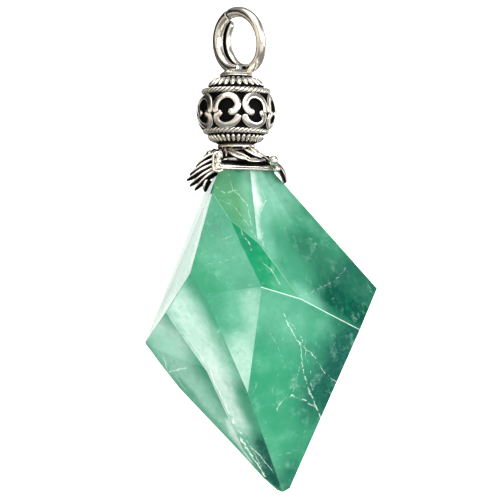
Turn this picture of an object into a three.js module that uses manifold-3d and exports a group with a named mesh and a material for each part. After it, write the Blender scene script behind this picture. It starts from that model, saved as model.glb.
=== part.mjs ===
// Fluorite octahedron pendant: a polished green stone hung from a silver cap, bead and wire ring.
// Millimetres, +Z up. The origin is the top of the ring's eye, where a chain bears on the wire.
// +X is to the right and -Y towards a viewer who faces the stone's crest.

import * as THREE from 'three';
import { mergeVertices } from 'three/addons/utils/BufferGeometryUtils.js';
import Module from 'manifold-3d';

const wasm = await Module();
wasm.setup();

// Solder seam between the silver pieces, which are turned about the Z axis
const SEAM = 0.05;

// Stone: corners of the leaning double pyramid and of the facets cut on its crest
const CORNER = {
  crown: new THREE.Vector3(0, 0, -13.9),
  tip: new THREE.Vector3(6.2, 0.1, -58.8),
  left: new THREE.Vector3(-11.6, 5.4, -40.5),
  right: new THREE.Vector3(17.8, 5.6, -33.6),
  back: new THREE.Vector3(12.6, 15.9, -42.2),
  crest: new THREE.Vector3(-5.4, -9.0, -31.6),
  crestFoot: new THREE.Vector3(-3.8, -9.0, -33.9),
  boss: new THREE.Vector3(3.1, -6.7, -33.2),
  keel: new THREE.Vector3(1.4, -4.9, -46.1),
  shoulder: new THREE.Vector3(-2.7, -5.1, -20.8),
  brow: new THREE.Vector3(1.8, -1.2, -19.2),
  windowTop: new THREE.Vector3(-0.7, -6.3, -25.1),
  windowSide: new THREE.Vector3(2.7, -5.0, -27.9),
  windowFoot: new THREE.Vector3(7.7, -4.1, -34.8),
  leftFoot: new THREE.Vector3(-8.6, -1.8, -36.4),
  rightFoot: new THREE.Vector3(15.3, 0.7, -38.7),
};
// Each facet is the plane through three corners
const FACETS = [
  ['shoulder', 'crest', 'left'],
  ['crest', 'windowTop', 'boss'],
  ['windowTop', 'windowFoot', 'boss'],
  ['brow', 'windowTop', 'windowSide'],
  ['brow', 'windowSide', 'right'],
  ['boss', 'keel', 'rightFoot'],
  ['boss', 'crestFoot', 'keel'],
  ['crest', 'leftFoot', 'tip'],
  ['leftFoot', 'left', 'tip'],
  ['crown', 'shoulder', 'left'],
  ['right', 'rightFoot', 'tip'],
  ['crown', 'right', 'back'],
  ['crown', 'left', 'back'],
  ['left', 'tip', 'back'],
  ['right', 'tip', 'back'],
];
const STONE_HEART = new THREE.Vector3(3.1, 2.5, -36);
const STONE_SEAT_Z = -17.9;
const CUTTER = 160;
const GLUE_GAP = 0.3;

// Ring: round wire that rises at the front left, turns over the top and ends behind its own start
const WIRE_RADIUS = 0.65;
const RING_RADIUS = 3.56;
const RING_PITCH = 1.52;
const RING_TURN = THREE.MathUtils.degToRad(48);
const RING_LEAN = THREE.MathUtils.degToRad(10);
const RING_CENTRE = new THREE.Vector3(0.34, 0.29, -2.88);
const RING_START = THREE.MathUtils.degToRad(184);
const RING_END = THREE.MathUtils.degToRad(-328);
const RING_STEPS = 48;
const WIRE_SIDES = 8;

// Solder foot that joins the ring to the bead, flat where it meets the bead
const FOOT_Z = -7.05;
const FOOT_PROFILE = [[0, -5.9], [1.2, -6.1], [1.6, -6.6], [2.05, FOOT_Z], [0, FOOT_Z]];
const FOOT_SEGMENTS = 20;

// Bead: turned body, listed from the top as radius and height
const BEAD_PROFILE = [
  [0, -7.1], [2.05, -7.1], [2.1, -7.5], [2.6, -7.8], [3.2, -8.4], [3.72, -9.1], [4.05, -9.8], [4.35, -10.7],
  [4.45, -11.75], [4.35, -12.8], [4.05, -13.55], [3.7, -14.1], [3.35, -14.9], [2.75, -15.55], [2.2, -15.7],
  [2.3, -16.0], [2.1, -16.3], [0, -16.3],
];
const BEAD_SEGMENTS = 24;
const DRUM_MIDDLE_Z = -11.75;
const DRUM_RADIUS = 4.45;
const DRUM_BULGE = 0.1;
const ROPES = [
  { radius: 3.95, z: -9.25 },
  { radius: 3.75, z: -14.1 },
];
const ROPE_THICKNESS = 0.34;

// Gadroons: a ring of small bosses above and below the ropes
const GADROON_COUNT = 16;
const GADROON_ROWS = [
  { radius: 3.0, z: -8.3, slope: -0.75 },
  { radius: 3.15, z: -15.0, slope: 0.85 },
];
const GADROON_SIZE = new THREE.Vector3(0.28, 0.36, 0.62);

// Scrolls: two hooks of wire in each panel of the drum, every other panel mirrored
const SCROLL_PANELS = 8;
const SCROLL_WIRE = 0.36;
const SCROLL_SIDES = 4;
const SCROLL_STEPS = 9;
const SCROLL_FIRST = THREE.MathUtils.degToRad(-14);
// Along the drum and up it, from the middle of a panel
const UPPER_HOOK = [
  [0.2, -0.25], [0.9, -0.15], [1.35, 0.65], [0.8, 1.5], [-0.15, 1.68], [-1.05, 1.25], [-1.4, 0.4], [-1.3, -0.35],
];
const LOWER_HOOK = [[-0.55, -0.2], [-1.25, -0.65], [-1.2, -1.35], [-0.4, -1.75], [0.55, -1.6], [1.3, -1.15], [1.65, -0.5]];

// Neck: turned collar between the bead and the cap
const NECK_PROFILE = [[0, -16.35], [1.8, -16.35], [1.6, -16.55], [1.75, -16.75], [0, -16.75]];
const NECK_SEGMENTS = 20;

// Cap: a dish under the neck, over a cup whose wall and thicker rim follow the stone's facets
const DISH_PROFILE = [[0, -16.8], [1.75, -16.8], [2.2, -17.1], [3.1, -17.3], [3.75, -17.5], [3.7, -17.85], [0, -18.0]];
const DISH_SEGMENTS = 20;
const CUP_WALL = 0.7;
const CUP_FOOT_Z = -19.25;
const CUP_RADIUS = 5.05;
const CUP_X = 1.35;
const CUP_Y = -1.4;
const CUP_SEGMENTS = 32;
const RIM_WALL = 0.95;
const RIM_TOP_Z = -18.75;

// Leaves of the cap: where each one grows from, its tip, its width and the way its face looks
const LEAVES = [
  { base: [-2.3, -1.6, -17.9], tip: [-5.7, -2.0, -20.2], width: 2.8, face: [-0.5, -0.6, 0.7] },
  { base: [-2.1, -3.1, -18.2], tip: [-4.2, -4.2, -21.3], width: 1.8, face: [-0.7, -0.6, 0.5] },
  { base: [4.3, 0.8, -17.9], tip: [6.7, 1.6, -20.6], width: 2.6, face: [0.8, -0.2, 0.6] },
  { base: [2.9, 2.0, -17.9], tip: [4.3, 4.2, -20.6], width: 2.2, face: [0.4, 0.7, 0.6] },
  { base: [-0.2, 1.9, -17.9], tip: [-1.1, 4.0, -20.6], width: 2.4, face: [-0.3, 0.8, 0.6] },
];
const LEAF_THICKNESS = 0.5;
const LEAF_RIDGE = 0.12;
const LEAF_RIDGES = 2;
const LEAF_ARCH = 0.35;
const LEAF_STEPS = 5;

// Granules: balls at the corners of the cap, with a strip of three at the front left and back right
const GRANULES = [
  { at: [4.55, 0.6, -17.9], radius: 0.64 },
  { at: [-2.7, 1.1, -17.2], radius: 0.64 },
  { at: [-2.05, -4.3, -17.35], radius: 0.46 },
  { at: [-2.2, -4.8, -18.1], radius: 0.46 },
  { at: [-2.25, -4.95, -18.85], radius: 0.46 },
  { at: [1.8, 2.9, -17.4], radius: 0.46 },
  { at: [2.1, 3.3, -18.1], radius: 0.46 },
  { at: [2.4, 3.7, -18.85], radius: 0.46 },
];

function solidOf(geometry) {
  const bare = geometry.clone();
  bare.deleteAttribute('normal');
  bare.deleteAttribute('uv');
  const welded = mergeVertices(bare);
  return new wasm.Manifold(new wasm.Mesh({
    numProp: 3,
    vertProperties: welded.attributes.position.array,
    triVerts: new Uint32Array(welded.index.array),
  }));
}

function geometryOf(solid) {
  const mesh = solid.getMesh();
  const geometry = new THREE.BufferGeometry();
  geometry.setAttribute('position', new THREE.BufferAttribute(mesh.vertProperties, 3));
  geometry.setIndex(new THREE.BufferAttribute(mesh.triVerts, 1));
  geometry.computeVertexNormals();
  return geometry;
}

function joined(geometries) {
  const [first, ...others] = geometries.map(solidOf);
  return others.reduce((sum, solid) => sum.add(solid), first);
}

// A turned solid about the Z axis, from radius and height pairs that run downwards
function turned(profile, segments) {
  const points = profile.map(([radius, z]) => new THREE.Vector2(radius, z)).reverse();
  return new THREE.LatheGeometry(points, segments).rotateX(Math.PI / 2);
}

function wireAlong(curve, radius, sides, steps) {
  const section = new THREE.Shape(new THREE.EllipseCurve(0, 0, radius, radius).getPoints(sides));
  return new THREE.ExtrudeGeometry(section, { steps, extrudePath: curve });
}

// The stone, with every facet moved outwards by grow
function stoneSolid(grow) {
  let solid = solidOf(new THREE.BoxGeometry(CUTTER / 2, CUTTER / 2, CUTTER / 2).translate(...STONE_HEART));
  const plane = new THREE.Plane();
  const away = (normal, face) => {
    const centre = STONE_HEART.clone().addScaledVector(normal, face + grow + CUTTER / 2);
    const turn = new THREE.Quaternion().setFromUnitVectors(new THREE.Vector3(0, 0, 1), normal);
    const place = new THREE.Matrix4().compose(centre, turn, new THREE.Vector3(1, 1, 1));
    return solidOf(new THREE.BoxGeometry(CUTTER, CUTTER, CUTTER).applyMatrix4(place));
  };
  for (const names of FACETS) {
    plane.setFromCoplanarPoints(...names.map((name) => CORNER[name]));
    if (plane.distanceToPoint(STONE_HEART) > 0) {
      plane.negate();
    }
    solid = solid.subtract(away(plane.normal, -plane.distanceToPoint(STONE_HEART)));
  }
  return solid.subtract(away(new THREE.Vector3(0, 0, 1), STONE_SEAT_Z - STONE_HEART.z));
}

// The ring's wire: a coil about a level axis, turned away from the viewer and leant to the left
class RingCoil extends THREE.Curve {
  getPoint(t, target = new THREE.Vector3()) {
    const angle = THREE.MathUtils.lerp(RING_START, RING_END, t);
    const along = -RING_PITCH * angle / (2 * Math.PI);
    target.set(-RING_RADIUS * Math.sin(angle), along, RING_RADIUS * Math.cos(angle));
    target.applyAxisAngle(new THREE.Vector3(0, 0, 1), -RING_TURN);
    target.applyAxisAngle(new THREE.Vector3(0, 1, 0), -RING_LEAN);
    return target.add(RING_CENTRE);
  }
}

function ringGeometry() {
  const wire = wireAlong(new RingCoil(), WIRE_RADIUS, WIRE_SIDES, RING_STEPS);
  const below = new THREE.BoxGeometry(CUTTER, CUTTER, CUTTER).translate(0, 0, FOOT_Z - CUTTER / 2);
  return geometryOf(joined([wire, turned(FOOT_PROFILE, FOOT_SEGMENTS)]).subtract(solidOf(below)));
}

// A point on the drum, by its angle from the front and its height above the drum's middle
function onDrum(angle, height) {
  const radius = DRUM_RADIUS - DRUM_BULGE * height * height + SEAM;
  return new THREE.Vector3(
    radius * Math.sin(angle),
    -radius * Math.cos(angle),
    DRUM_MIDDLE_Z + height,
  );
}

function scrollWires() {
  const wires = [];
  for (let panel = 0; panel < SCROLL_PANELS; panel++) {
    const middle = SCROLL_FIRST + panel * 2 * Math.PI / SCROLL_PANELS;
    const side = panel % 2 === 0 ? 1 : -1;
    for (const hook of [UPPER_HOOK, LOWER_HOOK]) {
      const points = hook.map(([along, up]) => onDrum(middle + side * along / DRUM_RADIUS, up));
      wires.push(wireAlong(new THREE.CatmullRomCurve3(points), SCROLL_WIRE, SCROLL_SIDES, SCROLL_STEPS));
    }
  }
  return wires;
}

function gadroons() {
  const bosses = [];
  for (const row of GADROON_ROWS) {
    for (let index = 0; index < GADROON_COUNT; index++) {
      const angle = (index + 0.5) * 2 * Math.PI / GADROON_COUNT;
      const boss = new THREE.SphereGeometry(1, 5, 3).scale(GADROON_SIZE.x, GADROON_SIZE.y, GADROON_SIZE.z);
      boss.rotateY(row.slope).translate(row.radius, 0, row.z).rotateZ(angle);
      bosses.push(boss);
    }
  }
  return bosses;
}

function beadGeometry() {
  const ropes = ROPES.map(({ radius, z }) => (
    new THREE.TorusGeometry(radius, ROPE_THICKNESS, 5, BEAD_SEGMENTS).translate(0, 0, z)
  ));
  const body = turned(BEAD_PROFILE, BEAD_SEGMENTS);
  return geometryOf(joined([body, ...ropes, ...gadroons(), ...scrollWires()]));
}

// A ridged leaf: a thin plate drawn to a point at its tip, arched over its length
function leafGeometry({ base, tip, width, face }) {
  const start = new THREE.Vector3(...base);
  const reach = new THREE.Vector3(...tip).sub(start);
  const length = reach.length();
  const plate = new THREE.BoxGeometry(length, width, LEAF_THICKNESS, LEAF_STEPS, 2 * LEAF_RIDGES, 1);
  const position = plate.attributes.position;
  for (let index = 0; index < position.count; index++) {
    const along = position.getX(index) / length + 0.5;
    const across = position.getY(index) / width;
    const narrowing = 0.3 + 0.7 * Math.sin(Math.PI * (0.3 + 0.65 * along));
    const ridge = LEAF_RIDGE * Math.cos(2 * Math.PI * LEAF_RIDGES * across);
    const arch = LEAF_ARCH * Math.sin(Math.PI * along);
    const z = position.getZ(index) + arch + (position.getZ(index) > 0 ? ridge : 0);
    position.setXYZ(index, along * length, across * width * narrowing, z);
  }
  const xAxis = reach.normalize();
  const yAxis = new THREE.Vector3(...face).cross(xAxis).normalize();
  const zAxis = xAxis.clone().cross(yAxis);
  return plate.applyMatrix4(new THREE.Matrix4().makeBasis(xAxis, yAxis, zAxis).setPosition(start));
}

// The round of the cup between two heights, which rounds its corners off
function cupRound(low, high) {
  const round = new THREE.CylinderGeometry(CUP_RADIUS, CUP_RADIUS, high - low, CUP_SEGMENTS);
  return solidOf(round.rotateX(Math.PI / 2).translate(CUP_X, CUP_Y, (low + high) / 2));
}

function capGeometry() {
  const dish = turned(DISH_PROFILE, DISH_SEGMENTS);
  const balls = GRANULES.map(({ at, radius }) => new THREE.SphereGeometry(radius, 6, 4).translate(...at));
  const cup = stoneSolid(CUP_WALL).intersect(cupRound(CUP_FOOT_Z, 0));
  const rim = stoneSolid(RIM_WALL).intersect(cupRound(CUP_FOOT_Z, RIM_TOP_Z));
  const silver = joined([dish, ...LEAVES.map(leafGeometry), ...balls]).add(cup).add(rim);
  return geometryOf(silver.subtract(stoneSolid(GLUE_GAP)));
}

function piece(name, geometry, colour, roughness, metalness) {
  const material = new THREE.MeshStandardMaterial({ color: colour, roughness, metalness });
  const mesh = new THREE.Mesh(geometry, material);
  mesh.name = name;
  return mesh;
}

const pendant = new THREE.Group();
pendant.add(piece('stone', geometryOf(stoneSolid(0)), '#6fb596', 0.08, 0));
pendant.add(piece('cap', capGeometry(), '#b9b4aa', 0.3, 1));
pendant.add(piece('neck', turned(NECK_PROFILE, NECK_SEGMENTS), '#c8c4bb', 0.25, 1));
pendant.add(piece('bead', beadGeometry(), '#a9a59b', 0.35, 1));
pendant.add(piece('ring', ringGeometry(), '#d9d6cf', 0.12, 1));

export default pendant;
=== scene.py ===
import math

import bmesh
import bpy
from bpy.props import FloatProperty, FloatVectorProperty, IntProperty, PointerProperty
from bpy.types import Operator, Panel, PropertyGroup
from mathutils import Matrix, Vector
from mathutils.bvhtree import BVHTree


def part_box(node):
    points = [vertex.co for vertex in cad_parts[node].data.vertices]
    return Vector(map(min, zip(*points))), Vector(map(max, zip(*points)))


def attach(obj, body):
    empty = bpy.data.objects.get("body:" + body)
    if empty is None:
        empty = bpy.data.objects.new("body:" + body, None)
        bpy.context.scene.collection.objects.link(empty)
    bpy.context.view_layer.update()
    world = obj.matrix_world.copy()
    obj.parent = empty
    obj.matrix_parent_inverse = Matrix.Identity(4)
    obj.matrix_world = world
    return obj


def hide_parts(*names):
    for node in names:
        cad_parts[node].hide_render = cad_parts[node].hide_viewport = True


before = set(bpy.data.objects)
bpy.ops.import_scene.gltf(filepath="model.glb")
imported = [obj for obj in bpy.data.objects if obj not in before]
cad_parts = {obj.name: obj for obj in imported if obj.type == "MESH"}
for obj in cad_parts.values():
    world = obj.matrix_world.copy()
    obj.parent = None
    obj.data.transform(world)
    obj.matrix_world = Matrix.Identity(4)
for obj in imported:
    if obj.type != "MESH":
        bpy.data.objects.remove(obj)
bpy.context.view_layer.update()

bl_info = {
    "name": "Fluorite pendant",
    "version": (1, 0, 0),
    "blender": (4, 5, 0),
    "location": "View3D > Sidebar > Pendant",
    "description": "Dresses a packed pendant: polished fluorite in an oxidised silver cap, bead and ring",
    "category": "Add Mesh",
}

MM = 0.001
TURN = 2 * math.pi

# The view: where the viewer stands, and the size of a picture element at the depth of the pendant's axis
VIEWER = Vector((1.7175, -225, -28.75)) * MM
PIXEL = 0.1235 * MM
PICTURE_WIDTH = 500
SENSOR_WIDTH = 36


def clamp(number):
    """The number, kept between 0 and 1."""
    return min(1, max(0, number))


def about_axis(radius, angle, height):
    """A point about the pendant's axis. The angle is 0 at the front and grows to the right."""
    return Vector((radius * math.sin(angle), -radius * math.cos(angle), height))


def picture_ray(u, v):
    """Direction from the viewer to a point of the picture."""
    across = (u - PICTURE_WIDTH / 2) * PIXEL
    up = (PICTURE_WIDTH / 2 - v) * PIXEL
    return Vector((across, -VIEWER.y, up))


def seen_at(u, v, depth):
    """The point that the picture shows at (u, v), at a depth in millimetres behind the pendant's axis."""
    ray = picture_ray(u, v)
    return VIEWER + ray * ((depth * MM - VIEWER.y) / ray.y)


def picture_of(point):
    """Where the picture shows a point."""
    reach = point - VIEWER
    scale = -VIEWER.y / reach.y / PIXEL
    return Vector((PICTURE_WIDTH / 2 + reach.x * scale, PICTURE_WIDTH / 2 - reach.z * scale))


# Settings


def length_setting(name, description, millimetres):
    return FloatProperty(name=name, description=description, default=millimetres * MM, min=0, unit="LENGTH")


def angle_setting(name, description, degrees):
    return FloatProperty(
        name=name, description=description, default=math.radians(degrees), subtype="ANGLE", unit="ROTATION",
    )


def colour_setting(name, description, colour):
    return FloatVectorProperty(
        name=name, description=description, default=colour, size=3, min=0, max=1, subtype="COLOR",
    )


class StoneSettings(PropertyGroup):
    """Sizes and colours of the stone."""

    edge_round: length_setting("Edge rounding", "Width of the rounding worn on the stone's edges", 0.05)
    ior: FloatProperty(name="Refraction", description="Index of refraction of fluorite", default=1.434, min=1)
    absorption: colour_setting(
        "Absorption colour", "Colour of light that has passed through the stone", (0.2, 0.83, 0.65),
    )
    density: FloatProperty(
        name="Absorption density", description="How fast the stone swallows light", default=150, min=0,
    )
    leaf: colour_setting("Leaf green", "Main colour of the stone", (0.036, 0.255, 0.135))
    mint: colour_setting("Mint", "Pale colour of the hazy parts", (0.2, 0.5, 0.36))
    # The milk white is the colour of the haze, and also of the painted highlights and the painted glow in the
    # stone
    milk_and_painted_light: colour_setting("Milk", "Whitest colour of the haze", (0.8, 0.93, 0.85))
    emerald: colour_setting("Emerald", "Colour of the cleanest green", (0.004, 0.22, 0.09))
    moss: colour_setting("Moss", "Colour of the yellowish green", (0.085, 0.29, 0.1))
    pine: colour_setting("Pine green", "Colour of the dark clouds", (0.015, 0.12, 0.07))
    teal: colour_setting("Teal", "Colour of the deepest parts", (0.0, 0.065, 0.04))
    slate: colour_setting("Slate", "Colour of the grey green parts", (0.006, 0.07, 0.052))


class SilverSettings(PropertyGroup):
    """Colours of the silver."""

    bright: colour_setting("Bright silver", "Colour of polished silver", (0.96, 0.94, 0.89))
    oxide: colour_setting("Oxide", "Colour of the blackened recesses", (0.002, 0.0019, 0.0018))


class RingSettings(PropertyGroup):
    """Sizes of the wire ring."""

    wire: length_setting("Wire radius", "Half the thickness of the ring's wire", 0.648)
    radius: length_setting("Ring radius", "Radius of the middle of the wire", 3.56)
    pitch: length_setting("Pitch", "How far the wire moves back in one turn", 1.52)
    turn: angle_setting("Turn", "How far the ring is turned from the viewer", 48)
    lean: angle_setting("Lean", "How far the ring leans to the left", 10)


class BeadSettings(PropertyGroup):
    """Sizes of the bead."""

    drum: length_setting("Drum radius", "Radius of the bead's black ground", 4.55)
    scroll_width: length_setting("Scroll width", "Width of the flat wire of the scrolls", 0.94)
    scroll_height: length_setting("Scroll height", "How far the scrolls stand up", 0.36)
    panels: IntProperty(name="Panels", description="Scroll panels round the drum", default=8, min=2)
    petals: IntProperty(name="Petals", description="Petals round the shoulder", default=24, min=3)
    ribs: IntProperty(name="Ribs", description="Ribs round the foot of the bead", default=32, min=3)


class CapSettings(PropertyGroup):
    """Sizes of the cap."""

    wall: length_setting("Wall", "How far the cup stands off the stone's facets", 0.62)
    rim: length_setting("Rim", "How far the rim stands out from the cup", 0.26)
    swirls: IntProperty(name="Swirls", description="Curled petals on the dish", default=5, min=1)


class StageSettings(PropertyGroup):
    """The studio."""

    floor: colour_setting("Floor colour", "Colour of the pale floor", (0.93, 0.93, 0.93))
    drop: length_setting("Floor drop", "Height of the pendant's tip above the floor", 45)
    floor_light: FloatProperty(
        name="Floor light", description="Light that the pale floor gives by itself", default=0.95, min=0,
    )
    sky: FloatProperty(name="Sky", description="Strength of the white surroundings", default=0.24, min=0)


# Shader maths

WHOLE_NUMBER_MARGIN = 0.25


class Value:
    """A shader socket that Python's operators work on. Each operator adds the Math node that does it."""

    def __init__(self, finish, socket):
        self.finish = finish
        self.socket = socket

    def _math(self, operation, first, second):
        return self.finish.node("ShaderNodeMath", {"operation": operation}, {0: first, 1: second})

    def __add__(self, other):
        return self._math("ADD", self, other)

    def __sub__(self, other):
        return self._math("SUBTRACT", self, other)

    def __mul__(self, other):
        return self._math("MULTIPLY", self, other)

    def __rsub__(self, other):
        return self._math("SUBTRACT", other, self)

    __radd__ = __add__
    __rmul__ = __mul__

    def ramp(self, low, high):
        """0 below low, 1 above high and a smooth rise between them. With low above high it falls instead."""
        return self.finish.node(
            "ShaderNodeMapRange", {"interpolation_type": "SMOOTHSTEP", "clamp": True},
            {"Value": self, "From Min": low, "From Max": high, "To Min": 0.0, "To Max": 1.0},
        )

    def shows(self, low, high, strength):
        """A ramp that ends at a strength instead of 1."""
        return self.ramp(low, high) * strength

    def equals(self, number):
        """1 where the value is a whole number, and 0 elsewhere."""
        return self.finish.node(
            "ShaderNodeMath", {"operation": "COMPARE"}, {0: self, 1: float(number), 2: WHOLE_NUMBER_MARGIN},
        )


class Finish:
    """The node tree of one material."""

    def __init__(self, name):
        self.material = bpy.data.materials.new(name)
        self.material.use_nodes = True
        self.tree = self.material.node_tree
        self.tree.nodes.clear()
        self.spot = self.node("ShaderNodeTexCoord", output="Object")

    def node(self, kind, settings=None, sockets=None, output=0):
        """Adds a node: first its own settings, then the values or links of its sockets."""
        made = self.tree.nodes.new(kind)
        for key, setting in (settings or {}).items():
            setattr(made, key, setting)
        for key, value in (sockets or {}).items():
            if isinstance(value, Value):
                self.tree.links.new(value.socket, made.inputs[key])
            else:
                made.inputs[key].default_value = value
        return Value(self, made.outputs[output]) if made.outputs else None

    def attribute(self, name):
        return self.node("ShaderNodeAttribute", {"attribute_name": name}, output="Fac")

    def noise(self, size, detail=3.0, roughness=0.55, spot=None, output="Fac"):
        """Cloudy noise whose clouds are about size millimetres across."""
        return self.node(
            "ShaderNodeTexNoise", None,
            {"Vector": spot or self.spot, "Scale": 1 / (size * MM), "Detail": detail, "Roughness": roughness},
            output,
        )

    def vector(self, operation, first, second, output=0):
        return self.node("ShaderNodeVectorMath", {"operation": operation}, {0: first, 1: second}, output)

    def warped(self, size, reach):
        """The place on the surface, shaken by noise of a size, over a reach in millimetres."""
        shake = self.noise(size, output="Color")
        centred = self.vector("SUBTRACT", shake, (0.5, 0.5, 0.5))
        return self.vector("ADD", self.spot, self.vector("MULTIPLY", centred, (2 * reach * MM,) * 3))

    def distance(self, spot, start, end):
        """How far a place is from a line between two points."""
        span = end - start
        reach = self.vector("SUBTRACT", spot, start)
        share = self.vector("DOT_PRODUCT", reach, span / span.length_squared, "Value")
        share = self.node("ShaderNodeClamp", None, {"Value": share, "Min": 0.0, "Max": 1.0})
        along = self.node("ShaderNodeVectorMath", {"operation": "SCALE"}, {0: span, "Scale": share})
        return self.vector("DISTANCE", reach, along, "Value")

    def mix(self, first, second, factor):
        return self.node(
            "ShaderNodeMix", {"data_type": "RGBA", "clamp_factor": True}, {0: factor, 6: first, 7: second}, 2,
        )

    def bump(self, height, strength, depth):
        """A bumpy normal. Depth is in millimetres."""
        return self.node(
            "ShaderNodeBump", None, {"Height": height, "Strength": strength, "Distance": depth * MM},
        )

    def surface(self, shader, volume=None):
        sockets = {"Surface": shader}
        if volume:
            sockets["Volume"] = volume
        self.node("ShaderNodeOutputMaterial", None, sockets)
        return self.material


def rgba(colour):
    return (*colour, 1.0)


# Shapes

WELD = 0.001 * MM
# Faces round a small and a large turned piece, and round a thin wire
SMALL_SEGMENTS = 64
LARGE_SEGMENTS = 96
WIRE_SIDES = 10
# Narrowest and thinnest parts of a shape, as shares of its width
PINHOLE = 0.01
LEAST_WIDTH = 0.02
# Height at the ends of a strip, as a share of its full height
END_RISE = 0.35
# How fast the polish of a boss rises out of the ground
BOSS_POLISH = 1.6
# A leaf: its width at the root, where its outline starts in a half wave, how bluntly it ends, the height of
# its ridges and crown in millimetres, how far its underside follows the crown, and the polish there
LEAF_ROOT = 0.25
LEAF_START = 0.3
LEAF_POINT = 6
LEAF_TIP = 1.02
LEAF_RIDGE = 0.16
LEAF_CROWN = 0.3
LEAF_HOLLOW = 0.7
LEAF_UNDERSIDE = 0.5
LEAF_STEPS = 20
LEAF_COLUMNS = 24
# Across, rise and polish of a flat topped strip, as shares of half its width and of its height
RELIEF_SECTION = [
    (-1.0, -0.3, 0.0), (-0.98, 0.3, 0.0), (-0.86, 0.72, 0.3), (-0.6, 0.95, 1.0), (-0.2, 1.0, 1.0),
    (0.2, 1.0, 1.0), (0.6, 0.95, 1.0), (0.86, 0.72, 0.3), (0.98, 0.3, 0.0), (1.0, -0.3, 0.0),
]


class Shape:
    """Points, faces and polish of a piece. Polish runs from 0 in a black recess to 1 on bright silver."""

    def __init__(self):
        self.points = []
        self.faces = []
        self.polish = []

    def rows(self, rows, polish, loop=False):
        """Skins closed rows of points. Polish has one number for each point of each row."""
        first = len(self.points)
        count = len(rows[0])
        for row, shine in zip(rows, polish):
            self.points.extend(row)
            self.polish.extend(shine)
        for index in range(len(rows) if loop else len(rows) - 1):
            here = first + index * count
            there = first + (index + 1) % len(rows) * count
            for column in range(count):
                beside = (column + 1) % count
                self.faces.append((here + column, here + beside, there + beside, there + column))
        if not loop:
            self.faces.append(tuple(range(first, first + count)))
            last = first + (len(rows) - 1) * count
            self.faces.append(tuple(range(last, last + count)))

    def turned(self, profile, segments, polish):
        """A solid turned about the Z axis, from radius and height pairs in millimetres."""
        angles = [TURN * index / segments for index in range(segments)]
        rows = [[about_axis(radius, angle, height) * MM for angle in angles] for radius, height in profile]
        self.rows(rows, [[shine] * segments for shine in polish])

    def wire(self, path, radius, sides, loop=False, polish=1.0):
        """Round wire along a path. Radius and polish are numbers or functions of the share of the length."""
        rows = []
        shines = []
        normal = None
        last = len(path) - 1
        for index, point in enumerate(path):
            if loop:
                ahead, behind = path[(index + 1) % len(path)], path[index - 1]
            else:
                ahead, behind = path[min(index + 1, last)], path[max(index - 1, 0)]
            tangent = (ahead - behind).normalized()
            if normal is None:
                normal = tangent.orthogonal().normalized()
            normal = (normal - tangent * normal.dot(tangent)).normalized()
            side = tangent.cross(normal)
            share = index / last
            thick = radius(share) if callable(radius) else radius
            rows.append([
                point + (normal * math.cos(turn) + side * math.sin(turn)) * thick
                for turn in (TURN * step / sides for step in range(sides))
            ])
            shine = polish(share) if callable(polish) else polish
            shines.append([shine] * sides)
        self.rows(rows, shines, loop)

    def relief(self, path, ups, width, height, taper):
        """A flat topped strip that stands on a ground. Taper gives its width along the path."""
        rows = []
        last = len(path) - 1
        for index, (point, up) in enumerate(zip(path, ups)):
            tangent = (path[min(index + 1, last)] - path[max(index - 1, 0)]).normalized()
            side = tangent.cross(up).normalized()
            scale = taper(index / last)
            lift = min(1, END_RISE + scale)
            rows.append([
                point + side * (width / 2 * across * scale) + up * (height * rise * lift)
                for across, rise, _ in RELIEF_SECTION
            ])
        self.rows(rows, [[shine for _, _, shine in RELIEF_SECTION]] * len(rows))

    def blob(self, centre, axes, sides=12, levels=8, base=-0.2):
        """A rounded boss on three axes. The third axis points out of the ground."""
        rows = []
        shines = []
        for level in range(levels + 1):
            lift = math.pi * level / levels
            out, around = math.cos(lift), max(math.sin(lift), PINHOLE)
            row = []
            for side in range(sides):
                turn = TURN * side / sides
                flat = axes[0] * math.cos(turn) + axes[1] * math.sin(turn)
                row.append(centre + flat * around + axes[2] * out)
            rows.append(row)
            shines.append([clamp((out - base) * BOSS_POLISH)] * sides)
        self.rows(rows, shines)

    def leaf(self, base, tip, width, face, ridges, arch=0.35, thickness=0.4):
        """A ridged leaf that arches over its length to a point. Lengths are millimetres."""
        reach = tip - base
        length = reach.length
        along = reach / length
        across = face.cross(along).normalized()
        out = along.cross(across)
        rows = []
        shines = []
        for step in range(LEAF_STEPS + 1):
            share = step / LEAF_STEPS
            swell = math.sin(math.pi * (LEAF_START + (1 - LEAF_START) * share))
            narrow = (LEAF_ROOT + (1 - LEAF_ROOT) * swell) * min(1, LEAF_POINT * (LEAF_TIP - share))
            lift = arch * math.sin(math.pi * share)
            top = []
            under = []
            top_shine = []
            for column in range(LEAF_COLUMNS + 1):
                offset = 2 * column / LEAF_COLUMNS - 1
                wave = 0.5 + 0.5 * math.cos(math.pi * ridges * (offset + 1) + math.pi)
                crown = LEAF_CROWN * (1 - offset * offset) * narrow
                place = (base + along * (length * share)) + across * (offset * width / 2 * narrow)
                top.append((place + out * (lift + thickness / 2 + LEAF_RIDGE * wave + crown)) * MM)
                under.append((place + out * (lift - thickness / 2 + LEAF_HOLLOW * crown)) * MM)
                top_shine.append(wave * wave)
            rows.append(top + under[::-1])
            shines.append(top_shine + [LEAF_UNDERSIDE] * len(under))
        self.rows(rows, shines)

    def piece(self, name, material, node):
        """Makes the mesh object, which rides with the pendant and stands for a node."""
        mesh = bpy.data.meshes.new(name)
        mesh.from_pydata(self.points, [], self.faces)
        shine = mesh.attributes.new("polish", "FLOAT", "POINT")
        shine.data.foreach_set("value", self.polish)
        work = bmesh.new()
        work.from_mesh(mesh)
        bmesh.ops.remove_doubles(work, verts=work.verts[:], dist=WELD)
        bmesh.ops.recalc_face_normals(work, faces=work.faces[:])
        for face in work.faces:
            face.smooth = True
        work.to_mesh(mesh)
        work.free()
        dress(mesh, name, material, node)


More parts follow.
